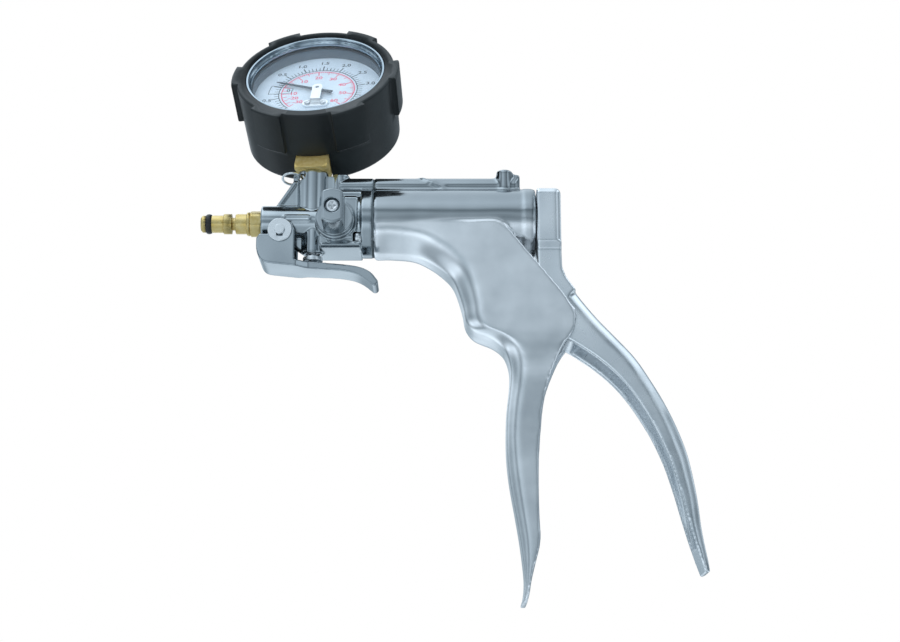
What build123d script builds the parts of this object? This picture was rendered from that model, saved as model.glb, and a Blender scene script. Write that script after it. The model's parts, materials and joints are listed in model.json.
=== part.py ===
from build123d import *
import math
import os

# Hand vacuum pump: die-cast barrel with a squeeze grip, valve head, release lever and dial gauge.
# Millimetres. The barrel axis is X with the hose plug at -X, +Z is up and the knob side is -Y.
# The origin is on the barrel axis, at the front edge of the hose plug's locking collar.

# ---- running and assembly clearances
run_gap = 0.05          # radial, shaft in hole
slide_gap = 0.12        # radial, piston in bore
side_gap = 0.3          # flat faces that pass each other
seat_gap = 0.02         # pieces that are clamped together

# ---- barrel and body casting
barrel_r = 15.7
bore_r = 12.0
seam_x = 67.6           # rear face of the head flange
gasket_t = 0.5
body_x = seam_x + gasket_t
barrel_end_x = 141.2
rear_wall = 8.0
band_x = 135.8
band_len = 3.6
band_r = 16.05
flange_len = 5.0
rib_r = 4.5             # small tube along the top of the barrel
rib_z = 17.2
rib_end_x = 133.0
rib_web = 5.2
rib_bore_r = 1.9
boss_x = 127.4          # small upright boss at the rear of the top tube
boss_r = 3.7
boss_y = -1.7
boss_top_z = 24.8

# ---- grip
grip_wall = 2.6
grip_half_w = 16.0
grip_low_half_w = 10.6
pivot_x = 153.0
pivot_z = -46.6
pivot_pin_r = 3.0
pivot_blind = 1.3       # metal left over the pin in the near flange

# ---- squeeze handle
squeeze_deg = 31.0
handle_wall = 2.5
head_front_gap = 0.3
head_front = barrel_end_x + head_front_gap
head_len = 10.9
head_top_z = 13.2
head_half_w = 14.4
head_step_z = -12.2
neck_half_w = grip_half_w - grip_wall - 0.9

# ---- piston and rod
rod_r = 4.0
rod_pin_x = 146.4
rod_pin_r = 2.2
rod_pin_half = 9.0
tongue_half = 3.9
tongue_h = 3.9
slot_gap = 0.35
piston_x = 72.0
piston_len = 9.0
cup_len = 4.0
arm = -pivot_z          # height of the rod axis above the handle pivot
bush_r = 7.0
spring_r = 8.6
spring_wire = 1.5
spring_turns = 9

# ---- valve head
head_x = 17.0
inlet_r = 8.2
gauge_x = 40.1
gauge_boss_r = 6.9
gauge_boss_z = 24.2
gauge_bore_r = 4.15
passage_r = 1.9
rib_start_x = 52.5
small_boss_x = 52.6
small_boss_r = 4.1
small_boss_z = 23.6
boss_wall_half = 3.0
knob_x = 51.0
knob_z = -2.0
knob_housing_r = 8.9
knob_face_y = -13.6     # front of the valve housing
rotor_r = 5.5
rotor_end_y = 8.0
check_z = 5.0           # check valves above and below the barrel axis
lower_block_z = -14.2
lower_block_half = 11.6
screw_ring_r = 13.6
screw_r = 1.4
screw_len = 15.0

# ---- change-over knob
knob_r = 8.3
knob_disc_t = 2.4
knob_bar_w = 9.2
knob_bar_h = 17.2
knob_recess_r = 3.45
knob_recess_depth = 2.6

# ---- hose plug
plug_nose_x = -10.5
plug_r = 3.95
collar_r = 4.6
collar_len = 3.4
groove_len = 1.9
groove_r = 2.9
guide_end_x = 10.3
bead_r = 5.4
bead_len = 1.7
hex_af = 11.1
plug_bore_r = 1.6
plug_stub_len = 6.0
plug_stub_r = 4.2         # taper thread behind the hexagon, as a plain stub
o_seat_x = -8.3
o_seat_len = 2.8
o_seat_r = 3.2

# ---- release lever and valve
lever_x = 26.2
lever_z = -6.0
lever_pin_r = 2.3
clip_r = 5.4
lever_t = 1.5
cheek_half = 10.2
arm_half = 7.4
lug_r = 5.2
lever_deg = 4.0
valve_x = 40.7
valve_y = -2.4
valve_boss_r = 4.8
valve_boss_z = -15.4
stem_r = 1.5
foot_r = 4.5
foot_t = 2.1
valve_ratio = valve_x - lever_x

# ---- split ring
ring_x = 35.0
ring_z = 21.8
ring_mean_r = 4.5
ring_tip_deg = -17.0    # its near side stands higher
ring_wire_r = 0.55
ring_hole_r = 1.35

# ---- gauge
gauge_lean_deg = 35.7   # stem leans back from the upright by this angle
gauge_yaw_deg = 6.0
stem_root_z = 28.2      # where the inclined stem axis leaves the boss axis
boot_r = 37.0
boot_back_r = 35.9
boot_depth = 36.8
boot_back_z = -8.8
boot_wall_back = 1.9
lug_out_r = 39.4
lip_gap = 0.4           # bezel front below the boot rim
lug_count = 6
lug_arc_deg = 24.0
lug_share = 0.55        # how far the lugs reach back, as a share of the boot's depth
case_r = 32.7
case_wall = 0.9
opening_r = 31.4
dial_r = 29.9
dial_z = 17.6
dial_t = 0.6
lens_t = 1.6
socket_w = 15.0
socket_back = 6.4
socket_front = 5.5
stem_len = 35.6         # gauge axis above the stem root, along the stem
pointer_len = 22.0
SCREW_ANGLES = (-135, 45)
ZERO_DEG = 159.0
MOVEMENT_Z = 9.0
GEAR_CENTRES = 9.6
PINION_TIP = 1.7
PINION_TEETH = 8
SECTOR_RATIO = 5.6      # pointer turn for one turn of the sector
SECTOR_REST_DEG = -13.4


# ------------------------------------------------------------------ helpers
def rod_x(r, x0, x1, y=0.0, z=0.0):
    """Cylinder of radius r along X from x0 to x1."""
    return Pos((x0 + x1) / 2, y, z) * Rot(0, 90, 0) * Cylinder(r, abs(x1 - x0))


def rod_y(r, y0, y1, x=0.0, z=0.0):
    """Cylinder of radius r along Y from y0 to y1."""
    return Pos(x, (y0 + y1) / 2, z) * Rot(90, 0, 0) * Cylinder(r, abs(y1 - y0))


def rod_z(r, z0, z1, x=0.0, y=0.0):
    """Cylinder of radius r along Z from z0 to z1."""
    return Pos(x, y, (z0 + z1) / 2) * Cylinder(r, abs(z1 - z0))


def block(x0, x1, y0, y1, z0, z1):
    """Box between two corners."""
    return Pos((x0 + x1) / 2, (y0 + y1) / 2, (z0 + z1) / 2) * Box(x1 - x0, y1 - y0, z1 - z0)


def turned_x(points):
    """Solid of revolution about X from (x, r) points, closed along the axis."""
    outline = Polyline(*[(x, 0, r) for x, r in points], close=True)
    return revolve(make_face(outline), Axis.X, 360)


def turned_z(points):
    """Solid of revolution about Z from (r, z) points."""
    outline = Polyline(*[(r, 0, z) for r, z in points], close=True)
    return revolve(make_face(outline), Axis.Z, 360)


def side_plate(points, y0, y1):
    """Polygon of (x, z) points, extruded along Y from y0 to y1."""
    face = make_face(Polyline(*[(x, y0, z) for x, z in points], close=True))
    return extrude(face, amount=y1 - y0, dir=(0, 1, 0))


def softened(part, edges, radius):
    """Part with its edges rounded, or left sharp where the wall has no room for the radius."""
    edges = list(edges)
    if not edges:
        return part
    limit = radius
    while limit > 0.15:
        try:
            rounded = fillet(edges, limit)
            if rounded.is_valid:
                return rounded
        except (ValueError, RuntimeError):
            pass
        limit *= 0.6
    return part


def smooth_rows(rows, per_span=3):
    """Rows of numbers resampled on a curve through them all, per_span steps to each gap."""
    count = len(rows)
    out = []
    for i in range(count - 1):
        a, b = rows[i], rows[i + 1]
        before = rows[max(i - 1, 0)]
        after = rows[min(i + 2, count - 1)]
        for k in range(per_span):
            t = k / per_span
            out.append([
                0.5 * (2 * q1 + (q2 - q0) * t + (2 * q0 - 5 * q1 + 4 * q2 - q3) * t * t
                       + (3 * q1 - q0 - 3 * q2 + q3) * t ** 3)
                for q0, q1, q2, q3 in zip(before, a, b, after)
            ])
    out.append(list(rows[-1]))
    return out


def channel_section(row, inset, open_over):
    """One cross-section of a channel: a rectangle from its back to its open edge, back corners rounded.

    The row holds back x, back z, open x, open z, half width and corner radius.
    inset moves the back and the sides in, and open_over runs it past the open edge."""
    bx, bz, ox, oz, half, round_r = row
    length = math.hypot(ox - bx, oz - bz)
    along = Vector((ox - bx) / length, 0, (oz - bz) / length)
    origin = Vector(bx, 0, bz) + along * inset
    depth = length - inset + open_over
    side = half - inset
    r = max(min(round_r - inset, side * 0.9, depth * 0.9), 0.25)
    plane = Plane(origin=origin, x_dir=along, z_dir=along.cross(Vector(0, 1, 0)))
    k = r * math.sqrt(0.5)
    edges = [
        Line((depth, -side), (depth, side)),
        Line((depth, side), (r, side)),
        ThreePointArc((r, side), (r - k, side - r + k), (0, side - r)),
        Line((0, side - r), (0, r - side)),
        ThreePointArc((0, r - side), (r - k, r - side - k), (r, -side)),
        Line((r, -side), (depth, -side)),
    ]
    return plane * make_face(edges)


def channel(rows, inset=0.0, open_over=0.0):
    """Smooth loft through the cross-sections of a channel."""
    return loft([channel_section(row, inset, open_over) for row in rows])


def coil(radius, wire, turns, height):
    """Closed round-wire coil spring along +Z from 0 to height, wire included."""
    pitch = (height - wire) / turns
    path = Helix(pitch=pitch, height=pitch * turns, radius=radius)
    section = Plane(origin=path @ 0, z_dir=path % 0) * Circle(wire / 2)
    return Pos(0, 0, wire / 2) * sweep(section, path=path, is_frenet=True)


def gauge_frame():
    """Location of the gauge: x right, y up the dial, z out of the dial, origin on the stem plane."""
    lean = math.radians(gauge_lean_deg)
    turn = math.radians(gauge_yaw_deg)
    up = Vector(math.sin(turn) * math.sin(lean), math.cos(turn) * math.sin(lean), math.cos(lean))
    right = Vector(math.cos(turn), -math.sin(turn), 0)
    origin = Vector(gauge_x, 0, stem_root_z) + up * stem_len
    return Plane(origin=origin, x_dir=right, z_dir=right.cross(up))


GAUGE = gauge_frame()


def on_gauge(part):
    """Part made in the gauge's own frame, put in its place."""
    return GAUGE.location * part


# ------------------------------------------------------------------ body casting
GRIP_ROWS = [
    # back x, back z, open x, open z, half width, corner radius
    (68.6, -15.5, 69.0, -3.0, grip_half_w - 0.9, 11.0),
    (78.0, -15.7, 84.0, -3.0, grip_half_w - 0.7, 11.5),
    (86.0, -16.6, 99.0, -3.2, grip_half_w - 0.4, 12.0),
    (92.5, -19.3, 113.0, -3.6, grip_half_w, 11.5),
    (98.6, -23.4, 125.3, -4.2, grip_half_w, 10.5),
    (103.6, -28.6, 136.0, -16.0, grip_half_w, 10.0),
    (106.6, -35.8, 147.0, -29.5, grip_half_w, 9.5),
    (108.4, -42.5, 154.3, -39.2, grip_half_w, 9.0),
    (109.6, -48.2, 157.9, -47.6, grip_half_w, 8.5),
    (113.2, -52.6, 156.9, -53.6, grip_half_w, 8.0),
    (120.2, -55.6, 154.2, -57.8, grip_half_w - 0.1, 8.0),
    (126.2, -60.4, 151.6, -61.8, grip_half_w - 0.4, 8.0),
    (128.9, -68.0, 148.8, -68.0, grip_half_w - 1.6, 7.5),
    (128.9, -76.4, 145.7, -76.4, grip_half_w - 3.2, 7.0),
    (127.7, -86.8, 143.3, -86.8, grip_low_half_w + 1.2, 6.5),
    (127.2, -98.0, 142.1, -98.0, grip_low_half_w + 0.5, 6.0),
    (127.4, -109.0, 141.3, -109.0, grip_low_half_w + 0.2, 6.0),
    (128.6, -120.5, 141.0, -121.0, grip_low_half_w, 6.0),
    (130.6, -132.0, 141.1, -133.0, grip_low_half_w, 5.5),
    (132.6, -144.0, 141.4, -145.6, grip_low_half_w, 5.0),
    (133.8, -153.0, 139.4, -154.6, grip_low_half_w - 0.2, 4.0),
    (134.6, -161.5, 137.5, -162.3, grip_low_half_w - 0.6, 2.4),
    (134.2, -168.0, 136.5, -168.4, grip_low_half_w - 1.4, 1.8),
    (133.0, -172.6, 135.2, -172.8, grip_low_half_w - 2.6, 1.8),
]
GRIP_HOLLOW_ROWS = 21   # the tip below these rows is solid


def grip_shell():
    rows = smooth_rows(GRIP_ROWS, 2)
    outer = channel(rows)
    inner = channel(rows[:2 * GRIP_HOLLOW_ROWS - 1], inset=grip_wall, open_over=12.0)
    return outer, inner


def body_casting():
    barrel = rod_x(barrel_r, body_x, barrel_end_x)
    barrel += rod_x(band_r, band_x, band_x + band_len)
    barrel = softened(barrel, barrel.edges().filter_by(GeomType.CIRCLE).group_by(Axis.X)[-1], 0.6)
    outer, inner = grip_shell()
    solid = barrel + (outer - inner)
    solid += rod_x(rib_r, body_x, rib_end_x, z=rib_z)
    solid += block(body_x, rib_end_x, -rib_web / 2, rib_web / 2, barrel_r - 4.0, rib_z)
    boss = rod_z(boss_r, barrel_r - 3.0, boss_top_z, boss_x, boss_y)
    boss = softened(boss, boss.edges().group_by(Axis.Z)[-1], 0.7)
    solid += boss
    rest_x = boss_x + boss_r
    solid += side_plate(
        [(boss_x, rib_z - 4), (rest_x + 3.4, rib_z - 4), (rest_x + 3.4, boss_top_z - 1.8),
         (rest_x + 1.0, boss_top_z - 1.4), (boss_x, boss_top_z - 1.4)], boss_y - 0.6, rib_r - 1.0)
    # thin raised line that crosses the near side of the top tube
    line = side_plate([(88.5, 22.0), (90.0, 22.0), (104.5, 13.0), (103.0, 13.0)], -rib_r - 1, -1.0)
    solid += line & rod_x(rib_r + 0.6, 84.0, 108.0, z=rib_z)
    # pivot bosses inside the two flanges
    flange_in = grip_half_w - grip_wall
    for side in (-1, 1):
        y0, y1 = sorted((side * (flange_in - 0.6), side * (grip_half_w - 0.8)))
        solid += rod_y(pivot_pin_r + 2.6, y0, y1, pivot_x, pivot_z)
    solid -= rod_x(bore_r, body_x - 1, barrel_end_x - rear_wall)
    solid -= rod_x(bush_r, barrel_end_x - rear_wall - 1, barrel_end_x + 1)
    solid -= rod_x(rib_bore_r, body_x - 1, boss_x - boss_r, z=rib_z)
    solid -= rod_z(rib_bore_r, bore_r - 1.5, rib_z + 1, x=boss_x - boss_r - 6.5)
    solid -= rod_y(pivot_pin_r + seat_gap, -grip_half_w + pivot_blind, grip_half_w + 2, pivot_x, pivot_z)
    for angle in SCREW_ANGLES:
        y, z = screw_place(angle)
        solid -= rod_x(screw_r + seat_gap, body_x - 1, head_screw_tip() + 0.6, y, z)
    return solid


def screw_place(angle):
    """(y, z) of a head screw on its ring, angle from +Y towards +Z."""
    return screw_ring_r * math.cos(math.radians(angle)), screw_ring_r * math.sin(math.radians(angle))


def head_screw_tip():
    return seam_x - flange_len + screw_len


# ------------------------------------------------------------------ head casting
def head_casting():
    tube = rod_x(inlet_r, head_x, knob_x)
    tube = softened(tube, tube.edges().filter_by(GeomType.CIRCLE).group_by(Axis.X)[0], 0.8)
    lug = rod_y(lug_r - 0.4, -cheek_half + lever_t + side_gap, cheek_half - lever_t - side_gap, lever_x, lever_z)
    core = block(knob_x - 2.0, seam_x - flange_len, -10.4, 10.4, -12.0, 13.4)
    core = softened(core, core.edges().filter_by(Axis.X), 2.4)
    step = block(knob_x + 4.0, seam_x - flange_len - 2.2, -11.4, 11.4, -9.0, 10.0)
    step = softened(step, step.edges().filter_by(Axis.X), 1.6)
    flange = rod_x(barrel_r, seam_x - flange_len, seam_x)
    flange = softened(flange, flange.edges().filter_by(GeomType.CIRCLE).group_by(Axis.X)[0], 0.7)
    collar = rod_x(barrel_r - 1.5, seam_x - flange_len - 1.6, seam_x - flange_len)
    lower = block(knob_x - 7.0, seam_x - flange_len, -lower_block_half, lower_block_half, lower_block_z, -5.0)
    lower = softened(lower, lower.edges().filter_by(Axis.X), 1.5)
    housing = rod_y(knob_housing_r, knob_face_y, rotor_end_y + 2.6, knob_x, knob_z)
    housing = softened(housing, housing.edges().filter_by(GeomType.CIRCLE).group_by(Axis.Y)[0], 0.5)
    upright = rod_z(gauge_boss_r, 0, gauge_boss_z, x=gauge_x)
    upright = softened(upright, upright.edges().group_by(Axis.Z)[-1], 0.5)
    small = rod_z(small_boss_r, 0, small_boss_z, x=small_boss_x)
    small = softened(small, small.edges().group_by(Axis.Z)[-1], 1.8)
    rib = rod_x(rib_r, rib_start_x, seam_x, z=rib_z)
    rib_foot = block(rib_start_x, seam_x, -rib_web / 2, rib_web / 2, 5.0, rib_z)
    fin = side_plate([(22.7, 7.0), (31.0, ring_z - 2.0), (31.0, gauge_boss_z - 0.8), (gauge_x, gauge_boss_z - 0.8),
                      (gauge_x, 5.0), (24.0, 5.0)], -1.2, 1.2)
    valve_boss = rod_z(valve_boss_r, valve_boss_z, 0, x=valve_x, y=valve_y)
    valve_boss = softened(valve_boss, valve_boss.edges().group_by(Axis.Z)[0], 0.5)
    solid = tube + lug + core + step + flange + collar + lower + housing + upright + small + rib + rib_foot
    solid += fin + valve_boss
    solid += block(gauge_x, small_boss_x, -boss_wall_half, boss_wall_half, 5.0, small_boss_z - 1.6)
    solid += side_plate([(30.6, -5.0), (30.6, -10.4), (35.8, valve_boss_z + 1.4), (valve_x, valve_boss_z + 1.4),
                         (valve_x, -5.0)], -boss_wall_half, boss_wall_half)
    solid += side_plate([(22.7, 7.0), (24.6, 7.0), (33.0, ring_z - 2.2), (31.0, ring_z - 2.0)], -1.7, 1.7)
    solid += raised_frames()
    return solid - head_cuts()


def raised_frames():
    """Plain raised frames on the side of the inlet tube and of the lower block, left empty."""
    frames = None
    for x0, x1, z, y, h in ((27.4, 39.6, 0.4, -inlet_r, 2.4),
                            (knob_x - 3.0, seam_x - flange_len - 1.8, -10.9, -lower_block_half, 3.4)):
        outer = Pos((x0 + x1) / 2, y + 0.35, z) * Rot(90, 0, 0) * extrude(SlotOverall(x1 - x0, h), 0.75)
        inner = Pos((x0 + x1) / 2, y, z) * Rot(90, 0, 0) * extrude(SlotOverall(x1 - x0 - 1.1, h - 1.1), 1.5)
        ring = outer - inner
        frames = ring if frames is None else frames + ring
    ledge = block(knob_x - 6.0, seam_x - flange_len - 0.4, -lower_block_half - 0.7, -lower_block_half + 1,
                  lower_block_z + 0.3, lower_block_z + 1.2)
    return frames + ledge


def head_cuts():
    rotor = rotor_r + run_gap
    ports = (knob_z - 3.4, knob_z + 3.4)
    cuts = rod_x(plug_seat_r(), head_x - 1, plug_tip_x() + 0.5)
    cuts += rod_x(passage_r, plug_tip_x(), knob_x - rotor + 0.5, z=knob_z / 2)
    cuts += rod_y(rotor, knob_face_y - 1, rotor_end_y + side_gap, knob_x, knob_z)
    cuts += rod_y(lever_pin_r + seat_gap, -20, 20, lever_x, lever_z)
    cuts += rod_z(gauge_bore_r + seat_gap, gauge_boss_z - 9.0, gauge_boss_z + 1, x=gauge_x)
    cuts += rod_z(passage_r, 0, gauge_boss_z - 8.0, x=gauge_x)
    # release valve: chamber above the seat, stem hole, spring pocket
    cuts += rod_z(3.3, valve_seat_z(), 1.0, x=valve_x, y=valve_y)
    cuts += rod_z(stem_r + run_gap, valve_boss_z - 1, 0, x=valve_x, y=valve_y)
    cuts += rod_z(spring_pocket_r(), valve_boss_z - 1, valve_seat_z() - 1.5, x=valve_x, y=valve_y)
    # ports from the rotor to the two check valves and on to the cylinder
    for z in ports:
        cuts += rod_x(passage_r, knob_x, seam_x + 1, z=z)
    for z in (-check_z, check_z):
        cuts += rod_x(check_r() + seat_gap, seam_x - check_depth(), seam_x + 1, z=z)
    cuts += rod_x(rib_bore_r, small_boss_x, seam_x + 1, z=rib_z)
    cuts += rod_z(passage_r, 2.0, rib_z, x=small_boss_x + 4.5)
    for angle in SCREW_ANGLES:
        y, z = screw_place(angle)
        cuts += rod_x(screw_r + seat_gap, head_x, seam_x + 1, y, z)
        cuts += rod_x(2.9, seam_x - flange_len - 3.4, seam_x - flange_len, y, z)
    # split ring hole and the pockets that thin the boss wall round it
    cuts += rod_y(ring_hole_r, -8, 8, ring_x, ring_z)
    cuts += rod_y(1.9, -8, -1.3, ring_x, ring_z)
    cuts += rod_y(1.9, 1.3, 8, ring_x, ring_z)
    return cuts


def plug_tip_x():
    return head_x + plug_stub_len


def plug_seat_r():
    return plug_stub_r + seat_gap


def valve_seat_z():
    return -5.6


def spring_pocket_r():
    return 3.1


def check_r():
    return 3.2


def check_depth():
    return 3.6


def head_gasket():
    ring = rod_x(barrel_r - 0.25, seam_x, body_x) - rod_x(bore_r - 0.6, seam_x - 1, body_x + 1)
    ring += rod_x(rib_r - 0.4, seam_x, body_x, z=rib_z) - rod_x(barrel_r - 0.3, seam_x - 1, body_x + 1)
    ring -= rod_x(rib_bore_r, seam_x - 1, body_x + 1, z=rib_z)
    for angle in SCREW_ANGLES:
        y, z = screw_place(angle)
        ring -= rod_x(screw_r + seat_gap, seam_x - 1, body_x + 1, y, z)
    return ring


def valve_plate():
    """Disc between head and cylinder that traps the two check valves."""
    plate = rod_x(bore_r - 0.7, seam_x, body_x + 1.2)
    for z in (check_z, -check_z):
        for dy in (-1.3, 1.3):
            plate -= rod_x(0.7, seam_x - 1, body_x + 2, dy, z)
    return plate


def check_valve(z, flap_first):
    """Rubber flap valve: a domed disc with a short stem."""
    front = seam_x - check_depth() + 0.1
    disc_x = front if flap_first else seam_x - 1.3
    disc = rod_x(check_r() - 0.2, disc_x, disc_x + 1.2, z=z)
    other = seam_x - seat_gap if flap_first else front
    stem = rod_x(1.1, min(disc_x + 0.5, other), max(disc_x + 0.5, other), z=z)
    return disc + stem


def head_screws():
    """Two long machine screws that hold the head on the barrel."""
    screws = []
    for angle in SCREW_ANGLES:
        y, z = screw_place(angle)
        front = seam_x - flange_len
        top = rod_x(2.6, front - 2.6, front - seat_gap, y, z)
        top = softened(top, top.edges().filter_by(GeomType.CIRCLE).group_by(Axis.X)[0], 0.8)
        cross = block(front - 3.0, front - 1.4, y - 1.6, y + 1.6, z - 0.4, z + 0.4)
        cross += block(front - 3.0, front - 1.4, y - 0.4, y + 0.4, z - 1.6, z + 1.6)
        screws.append(top - cross + rod_x(screw_r, front - 0.5, head_screw_tip(), y, z))
    return Compound(children=screws)


# ------------------------------------------------------------------ hose plug
def hose_plug():
    hex_x = guide_end_x + bead_len
    groove_x = collar_len + groove_len
    outline = [
        (plug_nose_x, plug_bore_r + 0.5), (plug_nose_x, plug_r - 0.9), (plug_nose_x + 0.7, plug_r - 0.1),
        (o_seat_x, plug_r - 0.1), (o_seat_x, o_seat_r), (o_seat_x + o_seat_len, o_seat_r),
        (o_seat_x + o_seat_len, plug_r), (-0.3, plug_r), (-0.3, collar_r - 0.35), (0.0, collar_r),
        (collar_len, collar_r), (collar_len, groove_r), (groove_x, groove_r), (groove_x, collar_r - 0.25),
        (groove_x + 0.3, collar_r), (guide_end_x, collar_r), (guide_end_x, bead_r - 0.4),
        (guide_end_x + 0.4, bead_r), (hex_x - 0.4, bead_r), (hex_x, bead_r - 0.4), (hex_x, plug_stub_r),
        (plug_tip_x(), plug_stub_r), (plug_tip_x(), plug_bore_r), (plug_nose_x + 0.5, plug_bore_r),
    ]
    turned = turned_x(outline)
    hexagon = Pos(hex_x, 0, 0) * Rot(0, 90, 0) * extrude(RegularPolygon(hex_af / 2, 6, major_radius=False),
                                                         head_x - hex_x - seat_gap)
    dome = rod_x(hex_af / 2 + 0.35, hex_x, head_x)
    hexagon = hexagon & softened(dome, dome.edges().filter_by(GeomType.CIRCLE), 0.6)
    return turned + (hexagon - rod_x(plug_bore_r, hex_x - 1, head_x + 1))


def plug_o_ring():
    outer = collar_r - 0.03
    half = (outer - o_seat_r) / 2
    section = Plane.XZ * Pos(o_seat_x + o_seat_len / 2, o_seat_r + half) * Ellipse(o_seat_len / 2 - 0.1, half - 0.01)
    return revolve(section, Axis.X, 360)


# ------------------------------------------------------------------ split ring
def split_ring():
    lie = Rot(ring_tip_deg, 0, 0)
    return Pos(ring_x, 0, ring_z) * lie * Pos(-ring_mean_r, 0, 0) * Torus(ring_mean_r, ring_wire_r)


# ------------------------------------------------------------------ release lever
def lever_side(inset=0.0):
    t = inset
    low = Spline((15.7 + t, -9.6), (15.8 + t, -14.5), (17.4 + t, -19.2 + t * 0.6), (22.5, -21.5 + t),
                 tangents=((0, -1), (1, -0.10)))
    web = Spline((22.5, -21.5 + t), (41.0, -23.3 + t), (54.0, -24.2 + t), (61.0, -25.9 + t),
                 (65.4 + t * 0.4, -28.6 + t * 0.9), (67.4 + t * 0.6, -30.3 + t * 0.5),
                 tangents=((1, -0.10), (0.75, -0.6)))
    tip = ThreePointArc((67.4, -30.3), (69.9, -30.4), (70.0, -28.2))
    upper = Spline((70.0, -28.2), (67.6, -25.2), (63.8, -22.9), (58.0, -21.5), (46.0, -20.4), (32.9, -19.6),
                   tangents=((-0.6, 0.75), (-1, 0.06)))
    return low, web, tip, upper


def lever_blank(half_front, half_arm):
    """Solid of the lever's outer form before it is hollowed."""
    low, web, tip, upper = lever_side()
    cheek = Polyline((32.9, -19.6), (32.9, -6.0), (31.4, -2.4), (29.6, -1.4))
    crown = ThreePointArc((29.6, -1.4), (26.2, -0.2), (22.4, -2.0))
    front = Polyline((22.4, -2.0), (21.2, -7.6), (17.0, -7.6), (15.7, -9.6))
    outline = make_face(Plane.XZ * (low + web + tip + upper + cheek + crown + front))
    solid = extrude(outline, amount=half_front, both=True)
    plan = Polyline((10, half_front), (33.5, half_front), (39.0, half_arm), (75.0, half_arm - 0.6),
                    (75.0, 0.6 - half_arm), (39.0, -half_arm), (33.5, -half_front), (10, -half_front), close=True)
    return solid & extrude(Plane.XY.offset(-40) * make_face(plan), amount=45)


def release_lever():
    solid = lever_blank(cheek_half, arm_half)
    long_edges = solid.edges().filter_by(lambda e: abs(abs(e.center().Y) - arm_half) < 0.8 and e.center().Z < -22.5)
    solid = softened(solid, long_edges, 0.9)
    pocket = side_plate([(17.2, 0.0), (17.2, -14.5), (18.8, -18.6), (22.5, -19.9), (41.0, -21.8), (55.0, -22.9),
                         (59.4, -23.9), (63.0, -25.6), (64.6, -23.6), (64.6, 0.0)], -20, 20)
    inner_plan = Polyline((12, cheek_half - lever_t), (32.8, cheek_half - lever_t), (38.3, arm_half - lever_t),
                          (65.0, arm_half - lever_t - 0.4), (65.0, lever_t + 0.4 - arm_half),
                          (38.3, lever_t - arm_half), (32.8, lever_t - cheek_half), (12, lever_t - cheek_half),
                          close=True)
    pocket &= extrude(Plane.XY.offset(-40) * make_face(inner_plan), amount=45)
    solid -= pocket
    # the front wall stops below the plug's hexagon
    solid -= block(10, lever_x - lug_r - 0.6, -cheek_half + lever_t, cheek_half - lever_t, -9.2, 1)
    return solid - rod_y(lever_pin_r + run_gap, -20, 20, lever_x, lever_z)


def lever_pin():
    pin = rod_y(lever_pin_r, -cheek_half - 2.0, cheek_half + 2.0, lever_x, lever_z)
    return softened(pin, pin.edges().filter_by(GeomType.CIRCLE), 0.35)


def lever_clips():
    """Push-on retaining washers on both ends of the lever pin, each with a gripping notch."""
    clips = []
    for side in (-1, 1):
        y0, y1 = sorted((side * (cheek_half + 0.12), side * (cheek_half + 0.95)))
        disc = rod_y(clip_r, y0, y1, lever_x, lever_z)
        disc = softened(disc, disc.edges().filter_by(GeomType.CIRCLE), 0.25)
        disc -= rod_y(lever_pin_r + 0.02, -20, 20, lever_x, lever_z)
        disc -= block(lever_x - 1.5, lever_x + 1.5, -20, 20, lever_z - lever_pin_r - 0.9, lever_z)
        clips.append(disc)
    return Compound(children=clips)


def stem_foot_z():
    return valve_boss_z - side_gap - lever_lift()


def lever_lift():
    return math.radians(lever_deg) * valve_ratio


def release_valve_stem():
    top = valve_seat_z() + 2.2
    foot = stem_foot_z()
    stem = rod_z(stem_r, foot - 0.5, top, x=valve_x, y=valve_y)
    head = rod_z(2.4, valve_seat_z() + 1.35, top, x=valve_x, y=valve_y)
    button = rod_z(foot_r, foot - foot_t, foot, x=valve_x, y=valve_y)
    button = softened(button, button.edges().filter_by(GeomType.CIRCLE), 0.5)
    nub = rod_z(2.2, web_top_z() + 0.25, foot - foot_t + 0.1, x=valve_x, y=valve_y)
    return stem + head + button + nub


def web_top_z():
    return -21.8


def release_valve_seal():
    z = valve_seat_z()
    seal = rod_z(2.9, z + 0.02, z + 1.33, x=valve_x, y=valve_y)
    return seal - rod_z(stem_r + 0.02, z - 1, z + 3, x=valve_x, y=valve_y)


def release_spring():
    low = stem_foot_z()
    high = valve_seat_z() - 1.5
    return Pos(valve_x, valve_y, low + 0.05) * coil(2.35, 0.7, 5, high - low - 0.1)


# ------------------------------------------------------------------ change-over knob
def knob_back_y():
    return knob_face_y - side_gap


def change_over_knob():
    back = knob_back_y()
    front = back - knob_disc_t
    face = front - knob_bar_h
    disc = rod_y(knob_r, front, back, knob_x, knob_z)
    disc = softened(disc, disc.edges().filter_by(GeomType.CIRCLE), 0.5)
    bar = rod_y(knob_r - 0.4, face, front + 0.5, knob_x, knob_z)
    bar &= block(knob_x - knob_bar_w / 2, knob_x + knob_bar_w / 2, face - 1, front + 1, -20, 20)
    bar = softened(bar, bar.edges().group_by(Axis.Y)[0], 0.8)
    solid = disc + bar
    solid -= rod_y(knob_recess_r, face - 1, face + knob_recess_depth, knob_x, knob_z)
    solid -= rod_y(knob_screw_r() + seat_gap, face, back + 1, knob_x, knob_z)
    solid -= rod_y(2.6, front - 6.0, back + 1, knob_x, knob_z)
    return solid


def knob_screw_r():
    return 1.6


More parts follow.
